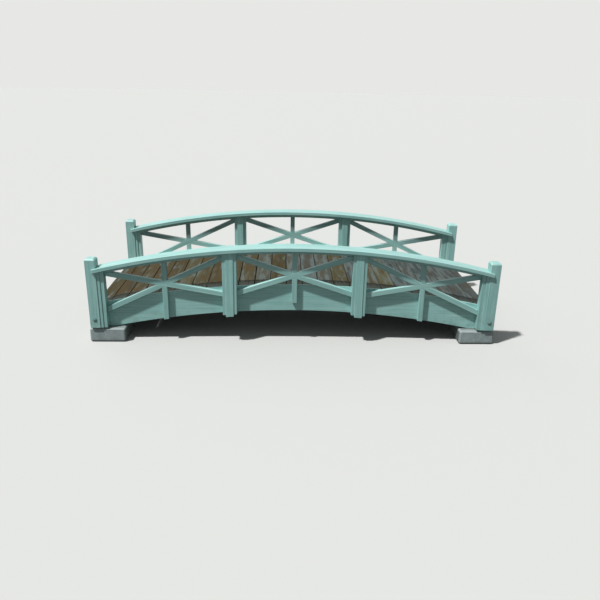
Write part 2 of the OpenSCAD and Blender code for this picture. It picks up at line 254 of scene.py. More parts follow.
def bare_softwood(tree, tones, ring_width, weather):
    """Bare softwood: rings round a pith line, knots, streaks, cracks and grey weathering.

    The rings are the distance from the pith line, bent by noise, so they come out as
    arches on a board's face. Returns the colour, the streaks and the bump.
    """
    grain = add(tree, "Attribute", attribute_name="grain")["Vector"]
    tone, edge = (add(tree, "Attribute", attribute_name=name)["Fac"]
                  for name in ("tone", "edge"))
    bend, streaks, blots, fibres, cracks = (
        add(tree, "TexNoise", {
            "Vector": add(tree, "VectorMath", (grain, per_metre), **TIMES)[0],
            "Scale": 1.0, "Detail": detail, "Roughness": roughness})["Fac"]
        for per_metre, detail, roughness in (
            # Bends in the rings are 140 mm wide and 770 mm long.
            ((1.3, 7, 7), 2.0, 0.5),
            # Streaks are 13 mm wide.
            ((1.5, 75, 75), 3.0, 0.6),
            # Blots are 90 mm wide and 330 mm long.
            ((3, 11, 11), 4.0, 0.6),
            # Fibres are under 1 mm wide; they are drawn 3 mm wide, so that they show.
            ((5, 330, 330), 2.0, 0.5),
            # Cracks are 3 mm wide.
            ((1.1, 190, 40), 2.0, 0.5)))
    # Knots are 20 to 30 mm across, about one to a plank.
    place = add(tree, "VectorMath", (grain, (4.5, 7, 7)), **TIMES)[0]
    knots = add(tree, "TexVoronoi", {"Vector": place, "Scale": 1.0})["Distance"]
    across = add(tree, "VectorMath", (grain, (0, 1, 1)), **TIMES)[0]
    radius = add(tree, "VectorMath", (across,), operation="LENGTH")["Value"]
    radius = add(tree, "Math", (bend, 0.05, radius), **TIMES_PLUS)[0]
    rings = add(tree, "Math", (radius, ring_width), operation="PINGPONG")[0]
    rings = add(tree, "Math", (rings, ring_width), operation="DIVIDE")[0]

    wood = add(tree, "ValToRGB", (tone,), stops=tones)[0]
    dark = add(tree, "MapRange", (streaks, 0.35, 0.7, 0, 0.55), **SMOOTH)[0]
    wood = add(tree, "Mix", {SHARE: dark, UNDER: wood, OVER: linear("#a39c8e")},
               blend_type="MULTIPLY", **COLOURS)[MIXED]
    wood = layered(tree, wood, (
        (rings, 0.55, 1.0, 0, 0.32, linear("#2b2318")),
        (blots, 0.52, 0.68, 0, weather, linear("#53574d")),
        (blots, 0.48, 0.34, 0, weather, linear("#3c3013")),
        (knots, 0.13, 0.07, 0, 0.75, linear("#221a12")),
        (cracks, 0.66, 0.72, 0, 0.8, linear("#12100c"))))
    rim = add(tree, "Math", (edge, 0.35), **TIMES)[0]
    wood = add(tree, "Mix", {SHARE: rim, UNDER: wood, OVER: linear("#2c2620")},
               **COLOURS)[MIXED]

    split = add(tree, "MapRange", (cracks, 0.66, 0.72, 0, 1), **SMOOTH)[0]
    relief = add(tree, "Math", (rings, 0.5), **TIMES)[0]
    for pattern, height in ((fibres, 0.4), (split, -1.5)):
        relief = add(tree, "Math", (pattern, height, relief), **TIMES_PLUS)[0]
    bump = add(tree, "Bump", {"Height": relief, "Strength": 0.6, "Distance": 0.0012})[0]
    return wood, streaks, bump


def weathered_planks(tree, colours):
    """Bare softwood planks, sawn and left to the weather.

    Boards differ from olive brown at the left end to slate grey at the right end, with
    bands of both along each, pale dusty ends that are also painted light in the handrail's
    shadow, and a stain round every screw. The attribute spot holds metres from a plank's
    middle.
    """
    tones = [(0.0, colours.deck_brown), (0.3, colours.deck_olive), (0.55, colours.deck_drab),
             (0.78, colours.deck_green_grey), (1.0, colours.deck_slate)]
    wood, streaks, bump = bare_softwood(tree, tones, 0.0045, 0.6)
    grain, spot = (add(tree, "Attribute", attribute_name=name)["Vector"]
                   for name in ("grain", "spot"))
    # Bands of ochre and of slate grey are 50 mm wide and 300 mm long.
    place = add(tree, "VectorMath", (grain, (3.3, 19, 19)), **TIMES)[0]
    bands = add(tree, "TexNoise", {"Vector": place, "Scale": 1.0, "Detail": 2.0})["Fac"]
    tone = add(tree, "Attribute", attribute_name="tone")["Fac"]
    bands = add(tree, "Math", (tone, 0.22, bands), **TIMES_PLUS)[0]
    # Screws stand at two places across a plank and at its middle and both its ends.
    spot = add(tree, "VectorMath", (spot,), operation="ABSOLUTE")[0]
    part = add(tree, "SeparateXYZ", (spot,))
    aside = add(tree, "Math", (part["Y"], SCREW_ASIDE), operation="SUBTRACT")[0]
    row = add(tree, "Math", (part["X"], SCREW_ROW), operation="PINGPONG")[0]
    away = add(tree, "CombineXYZ", (row, aside))[0]
    away = add(tree, "VectorMath", (away,), operation="LENGTH")["Value"]
    away = add(tree, "Math", (streaks, 0.012, away), **TIMES_PLUS)[0]
    # Dust and lichen lie pale along both sides of the deck, where nobody walks; the pale
    # colour is also painted light, which lifts the handrail's shadow along the front edge.
    # Their edge
    # is broken by the streaks: it lies 80 to 160 mm in from the planks' ends.
    dust_and_painted_light = add(tree, "Math", (streaks, 0.26, part["X"]), **TIMES_PLUS)[0]
    wood = layered(tree, wood, (
        (bands, 0.58, 0.45, 0, 0.65, linear("#3e2f12")),
        (bands, 0.63, 0.77, 0, 0.6, linear("#596361")),
        (away, 0.026, 0.010, 0, 0.7, linear("#1f1712")),
        (dust_and_painted_light, 0.68, 0.80, 0, 0.7, linear("#94978a"))))
    gloss = add(tree, "MapRange", (streaks, 0.3, 0.7, 0.75, 0.92), **SMOOTH)[0]
    # Open grain holds the light back at low angles, so the reflection is weaker.
    return {"Base Color": wood, "Roughness": gloss, "Normal": bump, "IOR": 1.5,
            "Specular IOR Level": 0.25}


def sawn_timber(tree, colours):
    """Bare sawn softwood in the shade under the deck: brown, rough and evenly dulled."""
    tones = [(0.0, colours.frame_timber), (1.0, colours.deck_drab)]
    wood, streaks, bump = bare_softwood(tree, tones, 0.004, 0.25)
    gloss = add(tree, "MapRange", (streaks, 0.3, 0.7, 0.75, 0.9), **SMOOTH)[0]
    return {"Base Color": wood, "Roughness": gloss, "Normal": bump, "IOR": 1.5}


def grey_stone(tree, colours):
    """Sawn grey granite: fine dark and pale grains, cloudy patches and a rough matt face.

    The real grains are 1 to 3 mm; they are drawn at 5 mm, so that they show in the render.
    """
    edge = add(tree, "Attribute", attribute_name="edge")["Fac"]
    spot = add(tree, "TexCoord")["Object"]
    part = add(tree, "SeparateXYZ", (spot,))
    facing = add(tree, "SeparateXYZ", (add(tree, "NewGeometry")["Normal"],))
    # Clouds are 110 mm across and pits 6 mm.
    clouds = add(tree, "TexNoise", {"Vector": spot, "Scale": 9.0, "Detail": 5.0,
                                    "Roughness": 0.6})["Fac"]
    pits = add(tree, "TexNoise", {"Vector": spot, "Scale": 160.0, "Detail": 3.0})["Fac"]
    grains = add(tree, "TexVoronoi", {"Vector": spot, "Scale": 200.0})["Color"]
    # 1 on a face that looks away from the span, and -1 on one that looks towards it.
    end = add(tree, "Math", (part["X"],), operation="SIGN")[0]
    outward = add(tree, "Math", (facing["X"], end), **TIMES)[0]
    patchy = add(tree, "MapRange", (clouds, 0.3, 0.6, 0.2, 0.5), **SMOOTH)[0]
    stone = add(tree, "ValToRGB", (clouds,), stops=[
        (0.36, colours.stone), (0.68, colours.stone_dark)])[0]
    speck = add(tree, "ValToRGB", (grains,), stops=[
        (0.2, linear("#585c5f")), (0.5, linear("#808484")), (0.85, linear("#bcbebe"))])[0]
    stone = add(tree, "Mix", {SHARE: 0.4, UNDER: stone, OVER: speck}, blend_type="OVERLAY",
                **COLOURS)[MIXED]
    stone = layered(tree, stone, (
        # Damp at the foot, a darker top, painted shade towards the span, and worn edges.
        (part["Z"], 0.05, 0.0, 0, 1, linear("#4c4d45"), patchy),
        (facing["Z"], 0.5, 1.0, 0, 0.5, linear("#5c6059")),
        # Painted shade: the faces towards the span, under the bridge, are darkened as if in
        # its shadow.
        (outward, -0.5, -1.0, 0, 0.7, linear("#2f352d")),
        (clouds, 0.3, 0.6, 0.3, 0.6, linear("#a2abab"), edge)))
    relief = add(tree, "Math", (pits, 0.5, clouds), **TIMES_PLUS)[0]
    bump = add(tree, "Bump", {"Height": relief, "Strength": 0.5, "Distance": 0.002})[0]
    return {"Base Color": stone, "Roughness": 0.85, "Normal": bump, "IOR": 1.54}


def painted_steel(tree, colours):
    """Coach bolts painted over with the posts: a darker, thicker film, chipped to rust."""
    # Blots are 10 mm across.
    blots = add(tree, "TexNoise", {"Vector": add(tree, "TexCoord")["Object"],
                                   "Scale": 100.0, "Detail": 3.0, "Roughness": 0.6})["Fac"]
    film = layered(tree, colours.bolt, [(blots, 0.58, 0.66, 0, 0.8, linear("#4a3a2c"))])
    gloss = add(tree, "MapRange", (blots, 0.4, 0.7, 0.42, 0.7), **SMOOTH)[0]
    return {"Base Color": film, "Roughness": gloss, "IOR": 1.5}


def dull_zinc(tree, colours):
    """Galvanised steel screws gone dull: mid-grey metal with brown rust in blotches."""
    # Blotches are 11 mm across, so that screws differ from one to the next.
    rust = add(tree, "TexNoise", {"Vector": add(tree, "TexCoord")["Object"],
                                  "Scale": 90.0, "Detail": 3.0, "Roughness": 0.6})["Fac"]
    rust = add(tree, "MapRange", (rust, 0.45, 0.62, 0, 1), **SMOOTH)[0]
    steel = add(tree, "Mix", {SHARE: rust, UNDER: colours.zinc, OVER: linear("#3f2c20")},
                **COLOURS)[MIXED]
    metal = add(tree, "Math", (rust, -0.7, 0.9), **TIMES_PLUS)[0]
    gloss = add(tree, "Math", (rust, 0.25, 0.5), **TIMES_PLUS)[0]
    return {"Base Color": steel, "Metallic": metal, "Roughness": gloss}


def pale_floor(tree, colours):
    """Plain matt floor: pale to look at, and a darker grey in the light that it throws up."""
    pale = add(tree, "Mix", {SHARE: seen_or_mirrored(tree), UNDER: linear("#545452"),
                             OVER: colours.floor}, **COLOURS)[MIXED]
    return {"Base Color": pale, "Roughness": 0.95, "Specular IOR Level": 0.1}


FINISHES = {
    "painted_timber": ("satin_exterior_paint", satin_paint),
    "deck_timber": ("weathered_softwood_planks", weathered_planks),
    "frame_timber": ("sawn_softwood_frame", sawn_timber),
    "sill_stone": ("sawn_grey_granite", grey_stone),
    "painted_steel": ("painted_over_steel", painted_steel),
    "zinc": ("dull_galvanised_steel", dull_zinc),
    "floor": ("plain_pale_floor", pale_floor),
}


def material_of(kind):
    """The material of a kind of surface, made when it is first asked for."""
    name, finish = FINISHES[kind]
    material = bpy.data.materials.get(name)
    if material is None:
        material = bpy.data.materials.new(name)
        material.use_nodes = True
        tree = material.node_tree
        tree.nodes.clear()
        sockets = finish(tree, bpy.context.scene.footbridge_colours)
        shader = add(tree, "BsdfPrincipled", sockets)
        add(tree, "OutputMaterial", {"Surface": shader["BSDF"]})
    return material


# ------------------------------------------------------------------------------ surfaces


def seeded(name):
    """A random generator that gives the same numbers for a name in every run."""
    return np.random.default_rng(zlib.crc32(name.encode()))


def box_profile(a, b):
    """The four corners of a rectangle between two low and two high sides."""
    return [(a[1], b[1]), (a[0], b[1]), (a[0], b[0]), (a[1], b[0])]


def tube_faces(rings, around):
    """Faces of a closed tube of rings of points: four-sided ones, and a cap at each end."""
    i, j = np.meshgrid(np.arange(rings - 1), np.arange(around), indexing="ij")
    k = (j + 1) % around
    quads = np.stack([i * around + j, i * around + k, (i + 1) * around + k,
                      (i + 1) * around + j], -1)
    caps = [np.arange(around)[::-1], (rings - 1) * around + np.arange(around)]
    return quads.reshape(-1, 4).tolist() + [cap.tolist() for cap in caps]


def bar(along, corners, radius, end_radius, round_steps=4, flat_steps=1, end_steps=4):
    """A bar with rounded edges and ends, as points, outward normals, faces and edge marks.

    along holds the stations, and each corner its a and its b at every station, in
    anticlockwise order and with level or upright sides between them. A corner between
    faces with normals m and n is rounded by c - r (m + n) + r (m cos t + n sin t), where c
    is the corner and t goes from 0 to 90 degrees, and r is negative at an inner corner.
    Towards each end the outline shrinks by e (1 - sin t) while it moves by e (1 - cos t),
    so the end has a rounding of radius e, and a flat cap closes it.
    """
    along = np.asarray(along, float)
    corner = np.array([[np.broadcast_to(np.asarray(v, float), along.shape) for v in c]
                       for c in corners])
    # Stations, and at each the outline's inset and how far its normals lean to the ends.
    t = np.linspace(0, math.pi / 2, end_steps + 1)
    lead, cut = end_radius * (1 - np.cos(t)), end_radius * (1 - np.sin(t))
    margin = end_radius * 1.01
    inner = (along > along[0] + margin) & (along < along[-1] - margin)
    station = np.concatenate([along[0] + lead, along[inner], along[-1] - lead[::-1]])
    inset = np.concatenate([cut, np.zeros(inner.sum()), cut[::-1]])
    lean = np.concatenate([-np.cos(t), np.zeros(inner.sum()), np.cos(t[::-1])])
    rise = np.gradient(corner, along, axis=2)
    place, slope = (np.array([[np.interp(station, along, v) for v in c] for c in values])
                    for values in (corner, rise))
    # The normals of the sides before and after each corner, and the rounding between them.
    side = (np.roll(corner, -1, 0) - corner)[..., len(along) // 2]
    after = np.sign(np.stack([side[:, 1], -side[:, 0]], 1).round(9))
    before = np.roll(after, 1, 0)
    outer = (before[:, 0] * after[:, 1] - before[:, 1] * after[:, 0] > 0)[:, None]
    r = np.where(outer, np.maximum(radius - inset, LEAST_ROUND), -INNER_ROUND * radius - inset)
    turn = np.linspace(0, math.pi / 2, round_steps + 1)[None, :, None]
    facing = before[:, None] * np.cos(turn) + after[:, None] * np.sin(turn)
    shape = place - (inset + r)[:, None] * (before + after)[..., None]
    shape = shape[:, None] + r[:, None, None] * facing[..., None]
    grade = np.broadcast_to(slope[:, None], shape.shape)
    facing = np.broadcast_to(facing[..., None], shape.shape)
    mark = np.where((turn > 0) & (turn < math.pi / 2), 1.0, 0.0) * outer[:, None]
    mark = np.broadcast_to(mark, (len(corners), round_steps + 1, 1))
    # Each flat side is shared out between the end of one rounding and the start of the next.
    share = np.linspace(0, 1, flat_steps + 1)[1:-1].reshape(-1, 1, 1)
    whole = []
    for value in (shape, grade, facing):
        flat = value[:, -1:] * (1 - share) + np.roll(value, -1, 0)[:, :1] * share
        whole.append(np.concatenate([value, flat], 1).reshape(-1, 2, len(station)))
    shape, grade, facing = whole
    level = np.zeros((len(corners), flat_steps - 1, 1))
    mark = np.concatenate([mark, level], 1).reshape(-1)
    points = np.stack([np.broadcast_to(station, shape[:, 0].shape), shape[:, 0], shape[:, 1]])
    straight = np.sqrt(1 - lean**2)
    normals = np.stack([lean - straight * (grade * facing).sum(1),
                        straight * facing[:, 0], straight * facing[:, 1]])
    edge = np.maximum(mark[:, None], ((lean != 0) & (abs(lean) < 0.999))[None])
    return {
        "points": points.transpose(2, 1, 0).reshape(-1, 3),
        "normals": normals.transpose(2, 1, 0).reshape(-1, 3),
        "faces": tube_faces(len(station), len(shape)),
        "edge": edge.T.reshape(-1).astype(float),
    }


def round_head(profile, lean, sides):
    """A head with a profile of radius r and height h, and normals of the same two parts.

    At the angle t round the axis, a point of the profile lies at r cos t, r sin t and h.
    """
    t = np.arange(sides) * 2 * math.pi / sides
    points, normals = (
        np.stack([v[:, :1] * np.cos(t), v[:, :1] * np.sin(t),
                  np.broadcast_to(v[:, 1:], (len(v), sides))], -1).reshape(-1, 3)
        for v in (profile, lean))
    return {"points": points, "normals": normals, "faces": tube_faces(len(profile), sides)}


def grain_of(solid, name, tone=None):
    """Gives a bar its own place in the timber's pattern, and its own tone from 0 to 1.

    The place is up to 40 m along the pattern, and 50 to 110 mm from its pith line.
    """
    rng = seeded(name)
    local = solid["points"]
    middle = (local.min(0) + local.max(0)) / 2
    shift = np.array([rng.uniform(0, 40), rng.uniform(-0.05, 0.05), rng.uniform(0.05, 0.11)])
    solid["grain"] = local - middle * (0, 1, 1) + shift
    solid["spot"] = local - middle
    solid["tone"] = np.full(len(local), rng.random() if tone is None else tone)
    return solid


def placed(solid, columns, origin=(0, 0, 0)):
    """Moves a solid into place: the columns are the directions of its three own axes."""
    matrix = np.array(columns, float).T
    solid["points"] = solid["points"] @ matrix.T + np.array(origin, float)
    solid["normals"] = solid["normals"] @ matrix.T
    if np.linalg.det(matrix) < 0:
        solid["faces"] = [f[::-1] for f in solid["faces"]]
    return solid


def piece_from(name, solids, kind, *nodes):
    """Joins solids into one mesh object that rides on the bridge and stands for CAD nodes."""
    starts = np.cumsum([0] + [len(s["points"]) for s in solids])
    faces = [[v + int(start) for v in f]
             for s, start in zip(solids, starts) for f in s["faces"]]
    mesh = bpy.data.meshes.new(name)
    mesh.from_pydata(np.concatenate([s["points"] for s in solids]), [], faces)
    keys = [k for k in ("grain", "spot", "tone", "edge") if k in solids[0]]
    write_attributes(mesh, {k: np.concatenate([s[k] for s in solids]) for k in keys})
    mesh.shade_smooth()
    normals = np.concatenate([s["normals"] for s in solids])
    mesh.normals_split_custom_set_from_vertices(
        (normals / np.linalg.norm(normals, axis=1)[:, None]).tolist())
    return as_piece(name, mesh, kind, *nodes)


def as_piece(name, mesh, kind, *nodes):
    """Puts a finished mesh into the scene as a piece of the bridge.

    It gets the material of its kind, and the CAD nodes that it stands for are hidden.
    """
    mesh.validate()
    made = bpy.data.objects.new(name, mesh)
    bpy.context.scene.collection.objects.link(made)
    made.data.materials.append(material_of(kind))
    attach(made, "root")
    if nodes:
        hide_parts(*nodes)
    return made


def read(items, field, size=1, number=float):
    """One field of a mesh's points, edges, faces or corners, as an array with a row each."""
    values = np.empty(len(items) * size, number)
    items.foreach_get(field, values)
    return values.reshape(-1, size) if size > 1 else values


def cad_points(node):
    """The corner points of a CAD node, in metres."""
    return read(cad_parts[node].data.vertices, "co", 3)


def write_attributes(mesh, values):
    """Stores a value or a vector at each point, for the materials to read."""
    for key, value in values.items():
        vector = np.ndim(value) == 2
        made = mesh.attributes.new(key, "FLOAT_VECTOR" if vector else "FLOAT", "POINT")
        made.data.foreach_set("vector" if vector else "value",
                              np.asarray(value, np.float32).ravel())


def arc_of(points):
    """Centre height, outer radius and inner radius of a member bent to an arc.

    With the crown at height c and the top of an end at x and z, the outer radius is
    (x^2 + (c - z)^2) / (2 (c - z)), and the centre lies that far below the crown. The inner
    radius is the distance from the centre to the nearest point.
    """
    crown = points[:, 2].max()
    ends = points[abs(points[:, 0]) > abs(points[:, 0]).max() - 1e-4]
    top = ends[np.argmax(ends[:, 2])]
    drop = crown - top[2]
    outer = (top[0] ** 2 + drop**2) / (2 * drop)
    centre = crown - outer
    return centre, outer, np.hypot(points[:, 0], points[:, 2] - centre).min()


def arc_height(x, centre, radius):
    """Height of an arc over the place x: centre + sqrt(radius^2 - x^2)."""
    return centre + np.sqrt(radius**2 - x**2)


def labels_of(count, edges):
    """Numbers the separate solids of a mesh: each point takes the lowest number it meets."""
    label = np.arange(count)
    while True:
        low = np.minimum(label[edges[:, 0]], label[edges[:, 1]])
        new = label.copy()
        np.minimum.at(new, edges[:, 0], low)
        np.minimum.at(new, edges[:, 1], low)
        new = new[new]
        if (new == label).all():
            return np.unique(label, return_inverse=True)[1]
        label = new


def applied(name, work):
    """The first object's mesh with its modifiers applied. The working objects then go."""
    graph = bpy.context.evaluated_depsgraph_get()
    final = bpy.data.meshes.new_from_object(work[0].evaluated_get(graph))
    for made in work:
        bpy.data.meshes.remove(made.data)
    final.name = name
    return final


def eased_copy(name, node, kind, width, direction=None):
    """A piece from a copy of a CAD node, with its edges eased.

    The copy's doubles are merged and its flat faces made whole, a Bevel modifier rounds its
    edges and is applied, and each solid gets its own place in the timber's pattern: up to
    40 m along it and 30 to 90 mm from its pith line, which runs in the direction given, or
    else in the one that the solid is longest in.
    """
    work = bmesh.new()
    work.from_mesh(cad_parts[node].data)
    bmesh.ops.remove_doubles(work, verts=work.verts, dist=MERGE_DISTANCE)
    bmesh.ops.dissolve_limit(work, angle_limit=FLAT_ANGLE, verts=work.verts,
                             edges=work.edges, use_dissolve_boundaries=False)
    work.verts.index_update()
    points = [v.co[:] for v in work.verts]
    faces = [[v.index for v in f.verts] for f in work.faces]
    work.free()
    mesh = bpy.data.meshes.new(name + "_work")
    mesh.from_pydata(points, [], faces)
    mesh.shade_smooth()
    made = bpy.data.objects.new(name + "_work", mesh)
    bpy.context.scene.collection.objects.link(made)
    bevel = made.modifiers.new("eased_edges", "BEVEL")
    bevel.width, bevel.segments, bevel.limit_method = width, EASED_SEGMENTS, "ANGLE"
    bevel.angle_limit, bevel.harden_normals = CORNER_ANGLE, True
    final = applied(name, [made])
    co = read(final.vertices, "co", 3)
    label = labels_of(len(co), read(final.edges, "vertices", 2, np.int32))
    grain, tones = np.zeros_like(co), np.zeros(len(co))
    for solid in range(label.max() + 1):
        own = label == solid
        middle = (co[own].min(0) + co[own].max(0)) / 2
        if direction is None:
            axis = np.linalg.svd(co[own] - co[own].mean(0), full_matrices=False)[2][0]
        else:
            axis = np.array(direction, float)
        side = np.cross(axis, (0, 1, 0) if abs(axis[1]) < 0.9 else (1, 0, 0))
        side /= np.linalg.norm(side)
        rng = seeded(f"{node} {solid}")
        shift = (rng.uniform(0, 40), rng.uniform(-0.04, 0.04), rng.uniform(0.03, 0.09))
        turn = np.stack([axis, side, np.cross(axis, side)], 1)
        grain[own] = (co[own] - middle) @ turn + shift
        tones[own] = rng.random()
    write_attributes(final, {"grain": grain, "tone": tones,
                             "edge": narrow_faces(final, co, width)})
    return as_piece(name, final, kind, node)


def narrow_faces(mesh, co, width):
    """1 at points that only the narrow faces of an eased edge meet, and 0 elsewhere.

    A face is narrow where its area is under its longest side times 0.9 of the width.
    """
    start, total = (read(mesh.polygons, field, number=int)
                    for field in ("loop_start", "loop_total"))
    corner = read(mesh.loops, "vertex_index", number=int)
    face = np.repeat(np.arange(len(total)), total)
    after = np.arange(len(corner)) + 1
    after[start + total - 1] = start
    longest = np.zeros(len(total))
    np.maximum.at(longest, face, np.linalg.norm(co[corner] - co[corner[after]], axis=1))
    narrow = read(mesh.polygons, "area") < longest * width * 0.9
    edge = np.ones(len(co))
    np.minimum.at(edge, corner, narrow[face].astype(float))
    return edge


def cut_piece(name, solid, rooms, kind, node):
    """A piece made of a bar with box-shaped rooms cut out of it.

    Each point takes the place in the pattern of the nearest point of the whole bar, and its
    normal too where that lies within 53 degrees of the face's own. The faces of the cuts
    keep their own flat normals.
    """
    mesh = bpy.data.meshes.new(name + "_work")
    mesh.from_pydata(solid["points"], [], solid["faces"])
    work = [bpy.data.objects.new(name + "_work", mesh)]
    for number, (x, y, z) in enumerate(rooms):
        block = bpy.data.meshes.new("room")
        block.from_pydata([(a, b, c) for a in x for b in y for c in z], [],
                          [(0, 1, 3, 2), (4, 6, 7, 5), (0, 4, 5, 1),
                           (2, 3, 7, 6), (0, 2, 6, 4), (1, 5, 7, 3)])
        work.append(bpy.data.objects.new("room", block))
        cut = work[0].modifiers.new(f"cut_{number}", "BOOLEAN")
        cut.operation, cut.object, cut.solver = "DIFFERENCE", work[-1], "EXACT"
    for made in work:
        bpy.context.scene.collection.objects.link(made)
    final = applied(name, work)
    tree = KDTree(len(solid["points"]))
    for index, point in enumerate(solid["points"]):
        tree.insert(point, index)
    tree.balance()
    co = read(final.vertices, "co", 3)
    near = np.array([tree.find(point)[1] for point in co])
    write_attributes(final, {
        "grain": solid["grain"][near] + (co - solid["points"][near]),
        "tone": solid["tone"][near], "edge": solid["edge"][near]})
    final.shade_smooth()
    corner = read(final.loops, "vertex_index", number=int)
    flat = np.repeat(read(final.polygons, "normal", 3),
                     read(final.polygons, "loop_total", number=int), 0)
    smooth = solid["normals"][near][corner]
    whole = (smooth * flat).sum(1) > 0.6
    final.normals_split_custom_set(np.where(whole[:, None], smooth, flat).tolist())
    return as_piece(name, final, kind, node)


# ---------------------------------------------------------------------------- properties


def length(name, description, default, low, high):
    """A length property, in metres."""
    return FloatProperty(name=name, description=description, default=default, min=low,
                         max=high, unit="LENGTH", precision=4)


class FootbridgeSizes(bpy.types.PropertyGroup):
    """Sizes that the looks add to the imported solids."""

    edge_round: length("Eased edges", "Rounding of the edges of the planed timber",
                       0.003, 0.001, 0.006)
    rail_round: length("Handrail edges", "Rounding of the long edges of the handrails",
                       0.004, 0.003, 0.010)
    plank_round: length("Plank edges", "Rounding of the long edges of the deck planks",
                        0.0035, 0.001, 0.008)
    plank_cup: length("Plank cup", "Most that a plank has cupped across its width",
                      0.0018, 0.0, 0.003)
    stone_wave: length("Stone unevenness", "Most that a sill block's face is off true",
                       0.0025, 0.0, 0.006)
    bolt_width: length("Bolt head", "Width of the domed head of a coach bolt",
                       0.026, 0.016, 0.034)
    bolt_height: length("Bolt height", "Height of a coach bolt above the foot of its post",
                        0.078, 0.05, 0.12)
    screw_width: length("Screw head", "Width of the head of a deck screw",
                        0.0095, 0.006, 0.012)
    screw_sides: IntProperty(
        name="Screw sides", description="Flat sides that draw a deck screw's round head",
        default=10, min=6, max=16)


def colour(name, description, hex_code):
    """A colour property with an sRGB hex default."""
    return FloatVectorProperty(name=name, description=description, subtype="COLOR", size=4,
                               default=linear(hex_code), min=0, max=1)


class FootbridgeColours(bpy.types.PropertyGroup):
    """Colours of the bridge and of the plain floor that it stands on."""

    paint: colour("Paint", "Blue-green paint of the rails, posts, braces and beams", "#92bfba")
    paint_shade: colour("Paint in streaks", "Darker paint in the brush marks", "#87b5b0")
    paint_chalk: colour("Chalked paint", "Paler paint where the film has chalked", "#a0c8c2")
    deck_brown: colour("Plank, brown", "Dark brown of the shaded planks", "#2a2510")
    deck_olive: colour("Plank, olive", "Olive brown of the deck planks", "#383011")
    deck_drab: colour("Plank, drab", "Pale grey brown of the deck planks", "#50503a")
    deck_green_grey: colour("Plank, green grey", "Green grey of the deck planks", "#3f4442")
    deck_slate: colour("Plank, slate", "Slate grey of the open planks", "#354547")
    frame_timber: colour("Frame", "Sawn timber under the deck", "#6f5e49")
    stone: colour("Stone", "Pale grey of the sill blocks", "#a8b6b6")
    stone_dark: colour("Stone, dark", "Darker clouds of the sill blocks", "#889594")
    bolt: colour("Bolt", "Paint on the bolt heads", "#5f807d")
    zinc: colour("Zinc", "Dull galvanised steel of the deck screws", "#6a7173")
    floor: colour("Floor", "Plain pale floor", "#c1c1be")


# ----------------------------------------------------------------------------- operators


class FOOTBRIDGE_OT_sills(bpy.types.Operator):
    """Builds the two sill blocks of sawn stone"""

    bl_idname = "footbridge.sills"
    bl_label = "Sill blocks"

    def execute(self, context):
        most = context.scene.footbridge_sizes.stone_wave
        for end in ENDS:
            node = "sill_" + end
            low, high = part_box(node)
            rng = seeded(node)
            solid = bar(np.linspace(low.y, high.y, SILL_STATIONS),
                        box_profile((low.x, high.x), (low.z, high.z)), SILL_ROUND,
                        SILL_END_ROUND, round_steps=6, flat_steps=12, end_steps=5)
            solid = grain_of(solid, node)
            # Unevenness: the sum of four long waves in random directions, each with a
            # height that falls with its frequency, scaled and moved to lie in the block.
            p = solid["points"]
            wave = sum(np.sin(p @ rng.uniform(-1, 1, 3) * f + rng.uniform(0, 6.28)) / f
                       for f in STONE_WAVES)
            wave = wave / abs(wave).max() * most
            push = np.minimum(wave - most, 0) * (p[:, 2] > low.z + 0.001)
            solid["points"] = p + solid["normals"] * push[:, None]
            placed(solid, ((0, 1, 0), (1, 0, 0), UPRIGHT))
            piece_from("stone_" + node, [solid], "sill_stone", node)
        return {"FINISHED"}


class FOOTBRIDGE_OT_beams(bpy.types.Operator):
    """Builds the three arched beams and the spreaders between them"""

    bl_idname = "footbridge.beams"
    bl_label = "Arched beams"

    def execute(self, context):
        ease = context.scene.footbridge_sizes.edge_round
        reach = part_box("deck_middle")[1].y + CLEARANCE
        seat = arc_of(cad_points("beam_middle"))[1]
        for side in ("front", "middle", "back"):
            node = "beam_" + side
            low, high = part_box(node)
            centre, outer, inner = arc_of(cad_points(node))
            x = np.linspace(low.x, high.x, BEAM_STATIONS)
            # The underside is the inner arc, and level where it sits on the sills. The
            # planks' ends lie on a ledge along the inner face of an outer beam.
            top, ledge = (arc_height(x, centre, radius) for radius in (outer, seat))
            bottom = np.maximum(arc_height(x, centre, inner), low.z)
            feet = [(low.y, bottom), (high.y, bottom)]
            corners = {
                "front": [(high.y, ledge), (-reach, ledge), (-reach, top), (low.y, top)],
                "middle": [(high.y, top), (low.y, top)],
                "back": [(high.y, top), (reach, top), (reach, ledge), (low.y, ledge)],
            }[side] + feet
            # Every beam takes the highest tone. On the painted beams that is painted light:
            # their faces come out brighter, as if the sun fell on them more strongly than on
            # the posts.
            solid = grain_of(bar(x, corners, ease, ease), node, 1.0)
            if side == "middle":
                piece_from("sawn_" + node, [solid], "frame_timber", node)
            else:
                piece_from("painted_" + node, [solid], "painted_timber", node)
        eased_copy("sawn_spreaders", "spreaders", "frame_timber", ease, (0, 1, 0))
        return {"FINISHED"}


def planks_of(node, centre):
    """Angles of the lower corners of each plank in a node, their radius and its thickness.

    Corners at one radius, to within 2 mm, lie in pairs along the arc, each at one angle to
    within 0.2 thousandths of a radian. The thickness is the difference between
    sqrt(r^2 - h^2) of the upper and the lower corners, with h half the width.
    """
    points = cad_points(node)
    angle = np.arctan2(points[:, 0], points[:, 2] - centre)
    radius = np.hypot(points[:, 0], points[:, 2] - centre)
    low = np.sort(angle[radius < radius.min() + 0.002])
    corners = [g.mean() for g in np.split(low, np.nonzero(np.diff(low) > 2e-4)[0] + 1)]
    pairs = list(zip(corners[0::2], corners[1::2]))
    half = radius.min() * math.sin((pairs[0][1] - pairs[0][0]) / 2)
    thick = math.sqrt(radius.max() ** 2 - half**2) - math.sqrt(radius.min() ** 2 - half**2)
    return pairs, radius.min(), thick


